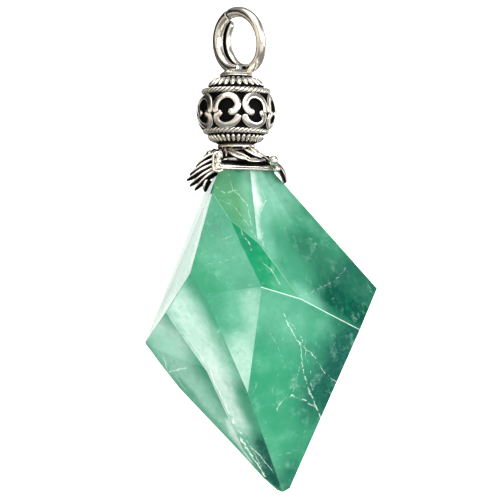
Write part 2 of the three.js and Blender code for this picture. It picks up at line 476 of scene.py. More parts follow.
def dress(mesh, name, material, node):
    """Makes an object of a mesh, with its material, and ties it to the frame."""
    mesh.materials.clear()
    mesh.materials.append(material)
    made = bpy.data.objects.new(name, mesh)
    bpy.context.scene.collection.objects.link(made)
    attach(made, "root")
    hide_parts(node)
    return made


def curve_through(points, steps):
    """Points of a smooth curve through a few given ones."""
    ends = [points[0] * 2 - points[1], *points, points[-1] * 2 - points[-2]]
    path = []
    for index in range(len(points) - 1):
        before, here, there, after = ends[index:index + 4]
        for step in range(steps):
            t = step / steps
            path.append(0.5 * (
                2 * here + (there - before) * t + (2 * before - 5 * here + 4 * there - after) * t ** 2
                + (3 * here - before - 3 * there + after) * t ** 3
            ))
    path.append(points[-1].copy())
    return path


def quarter_round(share):
    """Height of a quarter circle, by the share of the way from its edge to its top."""
    return math.sqrt(1 - (1 - share) ** 2)


def round_ends(share, reach=0.08):
    """Width of a strip with round ends, by the share of its length."""
    return max(LEAST_WIDTH, quarter_round(min(share, 1 - share, reach) / reach))


# Silver

# The two finishes: how unevenly the silver is rubbed, its roughness and how far that varies, and how strong
# its scratches are
SILVER_FINISHES = {
    "bright_silver": (0.15, 0.19, 0.05, 0.02),
    "relief_silver": (0.35, 0.16, 0.12, 0.12),
}
# Noise in the silver: size of its clouds in millimetres, detail
GRIME = (0.5, 4.0)
WARM_CLOUD = (2.2, 2.0)
SCRATCH = (0.12, 2.0)
SCRATCH_STRETCH = (1.0, 1.0, 6.0)
SCRATCH_DEPTH = 0.03
# Height of the grime beside that of the scratches
GRIME_HEIGHT = 0.6
# Warm tint of the clouds, as shares of the silver's own colour
WARM_TINT = (0.95, 0.91, 0.84)
# Polish at which the black starts to wear off, and at which it is gone
RUBBED = (0.22, 0.72)
OXIDE_ROUGHNESS = 0.4
OXIDE_GLOSS = 0.06


def silver(name):
    """Oxidised silver: bright where it is rubbed, black in the recesses, finely scratched."""
    settings = bpy.context.scene.pendant_silver
    uneven, roughness, roughness_span, scratch_strength = SILVER_FINISHES[name]
    finish = Finish(name)
    grime = finish.noise(*GRIME)
    cloud = finish.noise(*WARM_CLOUD)
    scratch = finish.noise(*SCRATCH, spot=finish.vector("MULTIPLY", finish.spot, SCRATCH_STRETCH))
    rubbed = (finish.attribute("polish") + (grime - 0.5) * uneven).ramp(*RUBBED)
    warm = rgba(part * share for part, share in zip(settings.bright, WARM_TINT))
    bright = finish.mix(rgba(settings.bright), warm, cloud)
    shader = finish.node("ShaderNodeBsdfPrincipled", None, {
        "Base Color": finish.mix(rgba(settings.oxide), bright, rubbed),
        "Metallic": rubbed,
        "Specular IOR Level": OXIDE_GLOSS,
        "Roughness": (1 - rubbed) * OXIDE_ROUGHNESS + (roughness + grime * roughness_span),
        "Normal": finish.bump(scratch + grime * GRIME_HEIGHT, scratch_strength, SCRATCH_DEPTH),
    })
    return finish.surface(shader)


def silver_of(name):
    """The silver of a finish, which is made once."""
    return bpy.data.materials.get(name) or silver(name)


# Ring

RING_CENTRE = Vector((0.34, 0.29, -2.88)) * MM
RING_START = math.radians(184)
RING_END = math.radians(-322)
RING_STEPS = 640
RING_SIDES = 32
# The black seam in the wire: its place and half its width as angles, and its depth as a share of the wire
RING_SEAM = math.radians(13)
RING_SEAM_WIDTH = 0.045
RING_SEAM_DEPTH = 0.22
# The wire's free end is rounded over this share of its length, down to this share of its thickness
RING_END_SHARE = 1 / 60
RING_END_WIDTH = 0.05
# How far the wire faces the next turn where its painted shade starts, and how much further it is full: black
# painted on the sides of the turns that face each other, for the shadow and dark reflection between them
TURN_SHADE_START = 0.52
TURN_SHADE_SPAN = 0.35
FOOT_Z = -7.05
FOOT_PROFILE = [
    (0.01, -6.35), (0.7, -6.38), (1.1, -6.48), (1.4, -6.62), (1.65, -6.78), (1.88, -6.93), (2.05, FOOT_Z),
    (0.01, FOOT_Z),
]
FOOT_POLISH = [1, 1, 1, 1, 1, 0.8, 0.4, 0]


def ring_point(settings, angle):
    """A point on the middle of the ring's wire. The angle is 0 at the top and grows to the left."""
    point = Vector((
        -settings.radius * math.sin(angle), -settings.pitch * angle / TURN, settings.radius * math.cos(angle),
    ))
    point.rotate(Matrix.Rotation(-settings.turn, 3, "Z"))
    point.rotate(Matrix.Rotation(-settings.lean, 3, "Y"))
    return point + RING_CENTRE


class PENDANT_OT_ring(Operator):
    """Makes the wire ring and the solder that holds it to the bead"""

    bl_idname = "pendant.ring"
    bl_label = "Ring"

    def execute(self, context):
        settings = context.scene.pendant_ring
        span = RING_END - RING_START
        path = [ring_point(settings, RING_START + span * step / RING_STEPS) for step in range(RING_STEPS + 1)]

        def seam(share):
            return math.exp(-(((RING_START + span * share - RING_SEAM) / RING_SEAM_WIDTH) ** 2))

        def thickness(share):
            end = quarter_round(min(1, (1 - share) / RING_END_SHARE))
            return settings.wire * (1 - RING_SEAM_DEPTH * seam(share)) * max(RING_END_WIDTH, end)

        shape = Shape()
        shape.wire(path, thickness, RING_SIDES, polish=lambda share: 1 - seam(share))
        lap = round(RING_STEPS * TURN / abs(span))
        for index, point in enumerate(shape.points):
            step = index // RING_SIDES
            if step >= lap or step + lap <= RING_STEPS:
                beside = path[step - lap] if step >= lap else path[step + lap]
                facing = (point - path[step]).normalized().dot((beside - path[step]).normalized())
                # Painted shade: the wire is blackened where it faces the next turn
                shape.polish[index] *= 1 - clamp((facing - TURN_SHADE_START) / TURN_SHADE_SPAN)
            point.z = max(point.z, FOOT_Z * MM)
        shape.piece("ring_wire", silver_of("bright_silver"), "ring")
        solder = Shape()
        solder.turned(FOOT_PROFILE, SMALL_SEGMENTS, FOOT_POLISH)
        solder.piece("ring_solder", silver_of("bright_silver"), "ring")
        return {"FINISHED"}


# Bead

# Height of the drum's middle, and how fast its radius shrinks with the square of the height above or below it
DRUM_MIDDLE = -11.75
DRUM_BULGE = 0.15
BEAD_PROFILE = [
    (0.01, -7.1), (1.75, -7.1), (1.98, -7.12), (2.08, -7.22), (2.02, -7.36), (1.95, -7.42), (2.12, -7.5),
    (2.2, -7.6), (2.3, -7.7), (2.6, -7.88), (2.9, -8.15), (3.2, -8.5), (3.5, -8.85), (3.72, -9.1),
    (3.85, -9.5), (4.0, -9.85), (4.23, -10.3), (4.44, -10.9), (4.55, -11.75), (4.44, -12.6), (4.23, -13.2),
    (4.0, -13.65), (3.75, -14.0), (3.55, -14.35), (3.3, -14.75), (3.0, -15.15), (2.6, -15.5), (2.3, -15.68),
    (2.2, -15.74), (2.32, -15.84), (2.38, -15.98), (2.34, -16.12), (2.2, -16.22), (2.05, -16.3),
    (0.01, -16.3),
]
# Bright collars of the bead: heights of their top and bottom
BEAD_COLLARS = ((-7.06, -7.3), (-15.8, -16.25))
# Ropes round the bead: radius, height
ROPES = ((3.93, -9.25), (3.72, -14.08))
ROPE_PLIES = 3
ROPE_TURNS = 14
ROPE_STEPS = 420
PLY_OFFSET = 0.2
PLY_RADIUS = 0.19
# How far from a rope's middle its black ends, and how far on it is bright
ROPE_BLACK = 0.27
ROPE_FADE = 0.08
# Hooks of a scroll panel: places along and up the drum from the panel's middle
SCROLL_FIRST = math.radians(-14)
SCROLL_STEPS = 10
UPPER_HOOK = [
    (0.2, -0.25), (0.9, -0.15), (1.35, 0.65), (0.8, 1.5), (-0.15, 1.68), (-1.05, 1.25), (-1.4, 0.4),
    (-1.3, -0.35),
]
LOWER_HOOK = [
    (-0.55, -0.2), (-1.25, -0.65), (-1.2, -1.35), (-0.4, -1.75), (0.55, -1.6), (1.2, -1.15), (1.48, -0.5),
]
# Rows of bosses: piece, setting that counts them, radius, height, slope in degrees, and half of their width,
# length and rise
BOSSES = (
    ("bead_petals", "petals", 2.8, -8.08, -52, (0.34, 0.85, 0.32)),
    ("bead_ribs", "ribs", 3.08, -15.02, 48, (0.25, 0.6, 0.28)),
)


def on_drum(settings, angle, height):
    """A point on the drum and the way out of it, by the angle and the height in millimetres."""
    radius = settings.drum - DRUM_BULGE * height * height * MM
    out = about_axis(1, angle, 2 * DRUM_BULGE * height).normalized()
    return about_axis(radius, angle, (DRUM_MIDDLE + height) * MM), out


class PENDANT_OT_bead(Operator):
    """Makes the bead: its black ground, ropes, scrolls, petals and ribs"""

    bl_idname = "pendant.bead"
    bl_label = "Bead"

    def execute(self, context):
        settings = context.scene.pendant_bead
        oxidised = silver_of("relief_silver")
        body = Shape()
        polish = [
            1.0 if any(bottom <= height <= top for top, bottom in BEAD_COLLARS) else 0.0
            for _, height in BEAD_PROFILE
        ]
        body.turned(BEAD_PROFILE, LARGE_SEGMENTS, polish)
        body.piece("bead_ground", oxidised, "bead")
        self.ropes(oxidised)
        self.scrolls(settings, oxidised)
        self.bosses(settings, oxidised)
        return {"FINISHED"}

    def ropes(self, material):
        shape = Shape()
        for radius, height in ROPES:
            for ply in range(ROPE_PLIES):
                path = []
                for step in range(ROPE_STEPS):
                    angle = TURN * step / ROPE_STEPS
                    twist = ROPE_TURNS * angle + TURN * ply / ROPE_PLIES
                    reach = radius + PLY_OFFSET * math.cos(twist)
                    path.append(about_axis(reach, angle, height + PLY_OFFSET * math.sin(twist)) * MM)
                shape.wire(path, PLY_RADIUS * MM, WIRE_SIDES, loop=True)
        for index, point in enumerate(shape.points):
            reach = min(
                math.hypot(point.xy.length / MM - radius, point.z / MM - height) for radius, height in ROPES
            )
            shape.polish[index] = clamp((reach - ROPE_BLACK) / ROPE_FADE)
        shape.piece("bead_ropes", material, "bead")

    def scrolls(self, settings, material):
        shape = Shape()
        for panel in range(settings.panels):
            middle = SCROLL_FIRST + TURN * panel / settings.panels
            side = 1 if panel % 2 == 0 else -1
            for hook in (UPPER_HOOK, LOWER_HOOK):
                flat = curve_through([Vector(place) for place in hook], SCROLL_STEPS)
                placed = [on_drum(settings, middle + side * p.x * MM / settings.drum, p.y) for p in flat]
                path = [point for point, _ in placed]
                ups = [out for _, out in placed]
                shape.relief(path, ups, settings.scroll_width, settings.scroll_height, round_ends)
        shape.piece("bead_scrolls", material, "bead")

    def bosses(self, settings, material):
        up = Vector((0, 0, 1))
        for name, counter, radius, height, degrees, size in BOSSES:
            shape = Shape()
            count = getattr(settings, counter)
            slope = math.radians(degrees)
            for index in range(count):
                angle = TURN * (index + 0.5) / count
                around = Vector((math.cos(angle), math.sin(angle), 0))
                outward = about_axis(1, angle, 0)
                along = up * math.cos(slope) + outward * math.sin(slope)
                face = outward * math.cos(slope) - up * math.sin(slope)
                centre = (outward * radius + up * height) * MM
                axes = [axis * length * MM for axis, length in zip((around, along, face), size)]
                shape.blob(centre, axes)
            shape.piece(name, material, "bead")


# Neck

NECK_PROFILE = [
    (0.01, -16.32), (1.7, -16.32), (1.8, -16.38), (1.74, -16.46), (1.62, -16.52), (1.58, -16.6),
    (1.64, -16.68), (1.78, -16.72), (1.8, -16.77), (0.01, -16.79),
]
NECK_POLISH = [0, 0.1, 0.6, 0.2, 0, 0, 0, 0.2, 0.5, 0.2]


class PENDANT_OT_neck(Operator):
    """Makes the turned collar between the bead and the cap"""

    bl_idname = "pendant.neck"
    bl_label = "Neck"

    def execute(self, context):
        shape = Shape()
        shape.turned(NECK_PROFILE, SMALL_SEGMENTS, NECK_POLISH)
        shape.piece("neck_collar", silver_of("relief_silver"), "neck")
        return {"FINISHED"}


# Stone

# Depth in millimetres at which a point of the picture that misses the stone is taken to lie
STONE_DEPTH = 3
STONE_WELD = 0.01 * MM
FACET_ANGLE = math.radians(1)
# Shortest edge that the stone keeps
CHIP = 0.6 * MM
ROUNDING_STEPS = 3
# How near to a line of the white edges the rounding of an edge is painted white
WEAR_AND_HIGHLIGHT_REACH = 1.2 * MM
# The stone's tip: its place across the picture
TIP_PLACE = 283
# The stone's rounded outline: points in the picture between its corners
OUTLINE = [(203.2, 195), (161, 365), (180, 389), (270.5, 484.5), (277, 490.3), (290, 488.5)]
# The bent edge between its two facets at the lower left, also in the picture
CREASE = [(207.5, 372), (229.5, 420), (243, 450), (264, 478)]
# The facets in view, each with a point of it in the picture
FACETS = {
    "left_sliver": (196, 250),
    "upper_left": (228, 258),
    "window": (262, 262),
    "brow": (228, 190),
    "upper_right": (300, 235),
    "lower_right": (285, 370),
    "lower_middle": (225, 325),
    "lower_left": (205, 345),
    "far_left": (172, 355),
}


def stone_facets():
    """The stone's solid with one face for each facet."""
    work = bmesh.new()
    work.from_mesh(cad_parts["stone"].data)
    bmesh.ops.remove_doubles(work, verts=work.verts[:], dist=STONE_WELD)
    bmesh.ops.dissolve_limit(work, angle_limit=FACET_ANGLE, verts=work.verts[:], edges=work.edges[:])
    bmesh.ops.dissolve_degenerate(work, edges=work.edges[:], dist=CHIP)
    work.normal_update()
    work.faces.ensure_lookup_table()
    return work


def bend_edges(work, places, outer):
    """Moves edges to points of the picture: those of the stone's outline, or else those inside it."""
    for place in places:
        place = Vector(place)
        nearest = None
        for edge in work.edges:
            front = [face.normal.dot(face.verts[0].co - VIEWER) < 0 for face in edge.link_faces]
            start, end = (picture_of(corner.co) for corner in edge.verts)
            span = end - start
            share = (place - start).dot(span) / span.length_squared
            gap = (start + span * share - place).length
            fits = front[0] != front[1] if outer else all(front)
            if fits and 0 < share < 1 and (nearest is None or gap < nearest[0]):
                nearest = (gap, edge, share)
        _, edge, share = nearest
        _, corner = bmesh.utils.edge_split(edge, edge.verts[0], share)
        corner.co = seen_at(*place, corner.co.y / MM)


def facet_planes():
    """The way out of each facet and how far it lies from the origin."""
    work = stone_facets()
    planes = [(face.normal.copy(), face.normal.dot(face.verts[0].co)) for face in work.faces]
    work.free()
    return planes


# Veils of colour inside the facets: facet, ends in the picture, radius in millimetres, colour, strength. Most
# are the stone's zoning; a few milk veils are painted light, marked below
VEILS = [
    ("left_sliver", (205, 225), (180, 290), 9.0, "mint", 0.8),
    ("left_sliver", (207, 205), (192, 262), 1.6, "milk_and_painted_light", 0.35),
    ("left_sliver", (170, 305), (152, 338), 3.2, "milk_and_painted_light", 0.55),
    ("upper_left", (200, 270), (220, 290), 4.0, "emerald", 0.5),
    ("upper_left", (232, 250), (250, 275), 5.0, "mint", 0.25),
    ("window", (238, 230), (280, 290), 5.0, "emerald", 0.9),
    ("window", (236, 224), (248, 246), 1.6, "pine", 0.3),
    ("window", (282, 288), (300, 300), 2.8, "mint", 0.3),
    ("brow", (222, 184), (240, 208), 5.0, "moss", 0.8),
    ("brow", (244, 186), (253, 232), 1.8, "mint", 0.5),
    ("brow", (216, 180), (232, 178), 2.0, "pine", 0.35),
    ("upper_right", (262, 178), (276, 200), 5.4, "mint", 0.9),
    ("upper_right", (256, 200), (262, 244), 3.4, "mint", 0.6),
    # Painted highlight: these two milk veils draw the bright line where an edge at the back shows through the
    # facet
    ("upper_right", (249, 174), (255, 200), 1.6, "milk_and_painted_light", 0.95),
    ("upper_right", (255, 200), (258, 232), 1.1, "milk_and_painted_light", 0.6),
    ("upper_right", (285, 225), (300, 232), 3.4, "emerald", 0.4),
    ("upper_right", (304, 244), (334, 280), 4.6, "pine", 0.8),
    ("upper_right", (290, 262), (298, 276), 3.0, "leaf", 0.7),
    ("upper_right", (303, 296), (318, 306), 2.6, "mint", 0.9),
    ("upper_right", (335, 298), (362, 314), 5.0, "teal", 1.0),
    ("upper_right", (350, 270), (374, 290), 4.4, "slate", 0.8),
    ("lower_right", (268, 305), (290, 325), 5.0, "mint", 0.35),
    ("lower_right", (264, 370), (286, 440), 6.4, "emerald", 0.4),
    ("lower_right", (354, 336), (326, 394), 6.4, "slate", 1.0),
    ("lower_right", (310, 420), (296, 470), 4.0, "pine", 0.35),
    ("lower_right", (284, 486), (292, 472), 2.8, "slate", 0.6),
    ("lower_middle", (246, 300), (250, 372), 4.6, "mint", 0.4),
    ("lower_middle", (254, 300), (257, 330), 2.6, "milk_and_painted_light", 0.22),
    ("lower_middle", (240, 354), (246, 380), 3.6, "milk_and_painted_light", 0.42),
    ("lower_left", (174, 296), (242, 432), 7.4, "mint", 0.9),
    # Painted glow: these two milk veils draw light gathered inside the stone as a milky band
    ("lower_left", (180, 306), (212, 364), 5.4, "milk_and_painted_light", 0.56),
    ("lower_left", (212, 364), (236, 420), 3.0, "milk_and_painted_light", 0.55),
    ("lower_left", (243, 394), (262, 440), 2.1, "leaf", 0.75),
    ("lower_left", (264, 446), (278, 482), 3.2, "slate", 1.0),
    ("far_left", (158, 330), (174, 344), 4.6, "milk_and_painted_light", 0.45),
    ("far_left", (166, 352), (222, 432), 5.0, "mint", 0.95),
    # Painted light: this milk veil lightens the far left facet, which the lamps light less
    ("far_left", (172, 356), (220, 424), 4.0, "milk_and_painted_light", 0.13),
    ("far_left", (230, 426), (252, 460), 1.2, "milk_and_painted_light", 0.6),
    ("far_left", (176, 384), (262, 476), 1.5, "leaf", 0.6),
]
# Tones that make the stone hazier as well as darker
DEEP_TONES = ("emerald", "pine", "teal", "slate")
# White edges: points in the picture, strength. The first two lines, the line above the ridge and the ridge
# itself, are painted highlight; the last, the crease at the lower left, is wear
WEAR_AND_HIGHLIGHT_EDGES = [
    ([(211, 197), (231, 219), (258, 244), (301, 302)], 0.16),
    ([(261, 286), (300, 302), (360, 331)], 0.65),
    ([(165, 312), (207, 372), (229, 420), (243, 450), (264, 478)], 0.5),
]
# Feathery cracks: facet, points in the picture, width in millimetres, strength
FEATHERS = [
    ("lower_right", [(284, 314), (291, 330), (300, 344), (303, 370), (309, 391), (321, 417)], 0.06, 0.5),
    ("lower_right", [(290, 322), (303, 341), (309, 362), (313, 388), (322, 416)], 0.05, 0.38),
    ("lower_right", [(300, 343), (313, 355), (325, 373), (336, 382)], 0.05, 0.36),
    ("lower_right", [(277, 411), (285, 399), (292, 397), (305, 400), (316, 408), (323, 418)], 0.08, 0.46),
    ("lower_right", [(300, 366), (296, 385), (291, 397)], 0.04, 0.36),
    ("lower_right", [(309, 378), (314, 392), (313, 405)], 0.05, 0.42),
    ("lower_right", [(268, 330), (277, 345), (283, 362)], 0.04, 0.3),
    ("lower_right", [(279, 372), (272, 392), (276, 420)], 0.04, 0.26),
    ("brow", [(214, 186), (224, 193), (236, 190), (247, 205), (252, 226)], 0.06, 0.42),
    ("brow", [(229, 175), (233, 190), (244, 199)], 0.05, 0.36),
    ("brow", [(220, 200), (234, 206), (246, 222), (256, 238)], 0.05, 0.36),
    ("window", [(240, 230), (248, 241), (252, 250)], 0.06, 0.42),
    ("window", [(262, 262), (272, 270), (280, 284)], 0.06, 0.36),
    ("upper_left", [(206, 264), (222, 262), (246, 252)], 0.05, 0.25),
    ("upper_left", [(204, 232), (220, 240), (232, 236)], 0.04, 0.25),
    ("upper_right", [(258, 214), (263, 224), (262, 240), (266, 252)], 0.06, 0.42),
    ("upper_right", [(262, 190), (266, 201), (261, 212)], 0.05, 0.42),
    ("upper_right", [(300, 296), (318, 290), (338, 278), (346, 268)], 0.05, 0.3),
    ("lower_left", [(250, 446), (260, 456), (273, 472)], 0.07, 0.6),
    ("lower_left", [(201, 356), (212, 376), (233, 420), (247, 450), (268, 478)], 0.11, 0.9),
    ("lower_left", [(182, 330), (201, 356)], 0.05, 0.5),
    ("lower_left", [(222, 394), (240, 430), (262, 466)], 0.05, 0.6),
    ("far_left", [(158, 362), (168, 372), (186, 368)], 0.08, 0.5),
    ("far_left", [(166, 366), (176, 384), (190, 392)], 0.06, 0.4),
]
# How the cracks are shaken, in turns: size of the noise and its reach in millimetres
FEATHER_STRANDS = ((0.8, 0.3), (1.5, 0.6))
# Where a crack's edge ends and starts, as shares of its width
CRACK_EDGE = (1.6, 0.2)
# How a veil is shaken, the share of its radius that is full, and how much of its strength is steady or uneven
VEIL_SHAKE = (3.0, 0.9)
VEIL_CORE = 0.1
VEIL_STEADY = 0.6
VEIL_UNEVEN = 0.8
# Noise in the stone: size of its clouds in millimetres, detail, and for one its roughness
CLOUD = (3.5, 4.0)
FINE = (0.7, 4.0)
MOTTLE = (1.5, 6.0, 0.68)
ZONE = (15.0, 2.0)
FLECK = (0.22, 1.0)
WINDING = (7.0, 1.5)
POLISHING_WAVE = (6.0, 2.0)
WAVE_STRENGTH = 0.15
WAVE_DEPTH = 0.25
# Tints by the noise: where they start, where they are full, how strongly they show
PALE_CLOUD = (0.42, 0.85, 0.55)
DARK_CLOUD = (0.45, 0.2, 0.3)
PALE_ZONE = (0.5, 0.66, 0.9)
DARK_ZONE = (0.48, 0.34, 0.9)
PALE_MOTTLE = (0.52, 0.78, 0.4)
DARK_MOTTLE = (0.48, 0.24, 0.4)
PALE_FLECK = (0.74, 0.8, 0.5)
PALE_VEIN = (0.006, 0.0, 0.2)
# Where the noise lets something show, and where it shows fully
ZONED_CLOUD = (0.3, 0.6)
FLECKED_CLOUD = (0.4, 0.7)
VEINED_MOTTLE = (0.5, 0.68)
WEAR_AND_HIGHLIGHT_BREAKS = (0.2, 0.5)
CRACK_BREAKS = (0.12, 0.5)
# Facets at the back have the number 0
BACK_FACETS = (0.6, 0.4)
# Share of the milky stone over the clear one, and how it grows with the clouds, the white and the dark tones
HAZE = 0.72
HAZE_CLOUD = 0.25
HAZE_WHITE = 0.4
HAZE_DEPTH = 0.32
MILKY_ROUGHNESS = 0.1
MILKY_GLOSS = 0.3
CRACK_ROUGHNESS = 0.2
CLEAR_COLOUR = (0.94, 1.0, 0.97)
CLEAR_ROUGHNESS = 0.08


def stone_base(finish, settings, facet, cloud):
    """The stone's green with its clouds, and broad zones on the facets at its back."""
    colour = finish.mix(rgba(settings.leaf), rgba(settings.mint), cloud.shows(*PALE_CLOUD))
    colour = finish.mix(colour, rgba(settings.pine), cloud.shows(*DARK_CLOUD))
    back = facet.ramp(*BACK_FACETS)
    zone = finish.noise(*ZONE)
    pale = zone.shows(*PALE_ZONE) * cloud.ramp(*ZONED_CLOUD) * back
    colour = finish.mix(colour, rgba(settings.mint), pale)
    return finish.mix(colour, rgba(settings.pine), zone.shows(*DARK_ZONE) * back)


def stone_veils(finish, settings, colour, masks, fine, stone_at):
    """Lays the veils over a colour. Gives the new colour and the strength of the dark tones."""
    spot = finish.warped(*VEIL_SHAKE)
    depth = 0
    for name, start, end, radius, tone, strength in VEILS:
        reach = finish.distance(spot, stone_at(*start), stone_at(*end))
        uneven = strength * VEIL_STEADY + fine * (strength * VEIL_UNEVEN)
        veil = reach.ramp(radius * MM, radius * VEIL_CORE * MM) * masks[name] * uneven
        colour = finish.mix(colour, rgba(getattr(settings, tone)), veil)
        if tone in DEEP_TONES:
            depth = veil + depth
    return colour, depth


def stone_cracks(finish, masks, stone_at):
    """The strength of the feathery cracks."""
    strands = [finish.warped(size, shake) for size, shake in FEATHER_STRANDS]
    edge, core = CRACK_EDGE
    cracks = 0
    for number, (name, points, width, strength) in enumerate(FEATHERS):
        lines = 0
        for start, end in zip(points, points[1:]):
            reach = finish.distance(strands[number % len(strands)], stone_at(*start), stone_at(*end))
            lines = reach.ramp(width * edge * MM, width * core * MM) + lines
        cracks = lines * (masks[name] * strength) + cracks
    return cracks


def fluorite(stone_at):
    """See-through fluorite with veils of haze, dark clouds and feathery cracks. Some of its white is painted
    light: highlights on edges, and milk veils that paint a highlight line, a glow inside the stone and light
    on a dim facet.
    """
    settings = bpy.context.scene.pendant_stone
    finish = Finish("hazy_fluorite")
    facet = finish.attribute("facet")
    masks = {name: facet.equals(index + 1) for index, name in enumerate(FACETS)}
    cloud = finish.noise(*CLOUD)
    fine = finish.noise(*FINE)
    mottle = finish.noise(*MOTTLE)
    colour = stone_base(finish, settings, facet, cloud)
    colour, depth = stone_veils(finish, settings, colour, masks, fine, stone_at)
    colour = finish.mix(colour, rgba(settings.mint), mottle.shows(*PALE_MOTTLE))
    colour = finish.mix(colour, rgba(settings.emerald), mottle.shows(*DARK_MOTTLE))
    # White edges: painted highlight on the ridge and the line above it, and wear on the crease at the lower
    # left
    wear_and_highlight = finish.attribute("wear_and_highlight") * fine.ramp(*WEAR_AND_HIGHLIGHT_BREAKS)
    white = stone_cracks(finish, masks, stone_at) * fine.ramp(*CRACK_BREAKS) + wear_and_highlight
    winding = finish.node("ShaderNodeMath", {"operation": "ABSOLUTE"}, {0: finish.noise(*WINDING) - 0.5})
    vein = winding.shows(*PALE_VEIN) * mottle.ramp(*VEINED_MOTTLE)
    fleck = finish.noise(*FLECK).shows(*PALE_FLECK) * cloud.ramp(*FLECKED_CLOUD)
    normal = finish.bump(finish.noise(*POLISHING_WAVE), WAVE_STRENGTH, WAVE_DEPTH)
    milky = finish.node("ShaderNodeBsdfPrincipled", None, {
        "Base Color": finish.mix(colour, rgba(settings.milk_and_painted_light), white + fleck + vein),
        "Roughness": MILKY_ROUGHNESS + white * CRACK_ROUGHNESS,
        "IOR": settings.ior,
        "Specular IOR Level": MILKY_GLOSS,
        "Normal": normal,
    })
    clear = finish.node("ShaderNodeBsdfPrincipled", None, {
        "Base Color": rgba(CLEAR_COLOUR),
        "Roughness": CLEAR_ROUGHNESS,
        "IOR": settings.ior,
        "Transmission Weight": 1.0,
        "Normal": normal,
    })
    haze = HAZE + (cloud - 0.5) * HAZE_CLOUD + white * HAZE_WHITE + depth * HAZE_DEPTH
    shader = finish.node("ShaderNodeMixShader", None, {0: haze, 1: clear, 2: milky})
    volume = finish.node(
        "ShaderNodeVolumeAbsorption", None, {"Color": rgba(settings.absorption), "Density": settings.density},
    )
    return finish.surface(shader, volume)


class PENDANT_OT_stone(Operator):
    """Makes the polished stone with its edges rounded by wear, and its colours. White is painted on some
    edges: painted highlight on the ridge and the line above it, wear on the crease at the lower left
    """

    bl_idname = "pendant.stone"
    bl_label = "Stone"

    def execute(self, context):
        settings = context.scene.pendant_stone
        work = stone_facets()
        tree = BVHTree.FromBMesh(work)

        def stone_hit(u, v):
            """The stone's point at a place of the picture, and the number of its face."""
            point, _, index, _ = tree.ray_cast(VIEWER, picture_ray(u, v).normalized())
            if point is None:
                point, _, index, _ = tree.find_nearest(seen_at(u, v, STONE_DEPTH))
            return point, index

        facet = work.faces.layers.float.new("facet")
        wear_and_highlight = work.faces.layers.float.new("wear_and_highlight")
        for number, place in enumerate(FACETS.values()):
            work.faces[stone_hit(*place)[1]][facet] = number + 1
        lines = [
            (stone_hit(*start)[0], stone_hit(*end)[0], strength)
            for points, strength in WEAR_AND_HIGHLIGHT_EDGES for start, end in zip(points, points[1:])
        ]
        tip = min(work.verts, key=lambda corner: corner.co.z)
        tip.co.x = seen_at(TIP_PLACE, 0, tip.co.y / MM).x
        tip.co.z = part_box("stone")[0].z
        bend_edges(work, OUTLINE, outer=True)
        bend_edges(work, CREASE, outer=False)
        work.normal_update()
        made = bmesh.ops.bevel(
            work, geom=work.edges[:], offset=settings.edge_round, segments=ROUNDING_STEPS, profile=0.5,
            affect="EDGES", clamp_overlap=True,
        )
        # The rounding near the white edges takes their strength: painted highlight, and wear on the crease
        for face in made["faces"]:
            centre = face.calc_center_median()
            near = [strength for start, end, strength in lines if self.reach(centre, start, end) < WEAR_AND_HIGHLIGHT_REACH]
            face[wear_and_highlight] = max(near, default=0)
            face[facet] = 0
        # The rounding takes on the facets beside it, first its outer strips and then its middle one
        for _ in range(2):
            for face in made["faces"]:
                face[facet] = max(other[facet] for edge in face.edges for other in edge.link_faces)
        for face in work.faces:
            face.smooth = True
        # The colours are placed on the bent facets
        tree = BVHTree.FromBMesh(work)
        mesh = bpy.data.meshes.new("stone_polished")
        work.to_mesh(mesh)
        work.free()
        stone = dress(mesh, "stone_polished", fluorite(lambda u, v: stone_hit(u, v)[0]), "stone")
        weights = stone.modifiers.new("Flat facets", "WEIGHTED_NORMAL")
        weights.keep_sharp = True
        return {"FINISHED"}

    @staticmethod
    def reach(point, start, end):
        """How far a point is from a line between two others."""
        span = end - start
        share = clamp((point - start).dot(span) / span.length_squared)
        return (start + span * share - point).length


# Cap

CUP_MIDDLE = Vector((1.35, -1.4)) * MM
CUP_RADIUS = 5.1
CUP_SEGMENTS = 160
# The higher the power, the sharper the cup's corners. A facet shapes the cup if it faces out this far
CORNER_POWER = 14
LEAST_FACING = 0.05
# Outside of the cup: height in millimetres, shares of the wall and of the rim that it stands out by, polish
CUP_OUTSIDE = [
    (-17.05, 0.8, 0.0, 0.0), (-17.6, 1.0, 0.0, 0.0), (-18.16, 1.0, 0.0, 0.0), (-18.28, 1.0, 0.0, 0.1),
    (-18.34, 1.0, 0.7, 0.7), (-18.42, 1.0, 1.0, 1.0), (-18.56, 1.0, 1.0, 1.0), (-18.62, 1.0, 0.8, 0.4),
    (-18.68, 1.0, 1.0, 0.9), (-18.82, 1.0, 1.0, 1.0), (-18.92, 1.0, 0.7, 0.8), (-18.98, 1.0, 0.1, 0.4),
]
# Inside of the cup, on the glue: height in millimetres, polish
CUP_INSIDE = [(-18.98, 0.1), (-18.0, 0.0)]
GLUE = 0.08 * MM
DISH_PROFILE = [
    (0.01, -16.8), (1.6, -16.8), (1.85, -16.92), (2.2, -17.08), (2.7, -17.2), (3.2, -17.32), (3.6, -17.42),
    (3.78, -17.55), (3.8, -17.7), (3.66, -17.84), (3.3, -17.9), (0.01, -17.95),
]
DISH_POLISH = [0, 0, 0, 0, 0, 0, 0.1, 0.4, 0.6, 0.3, 0, 0]
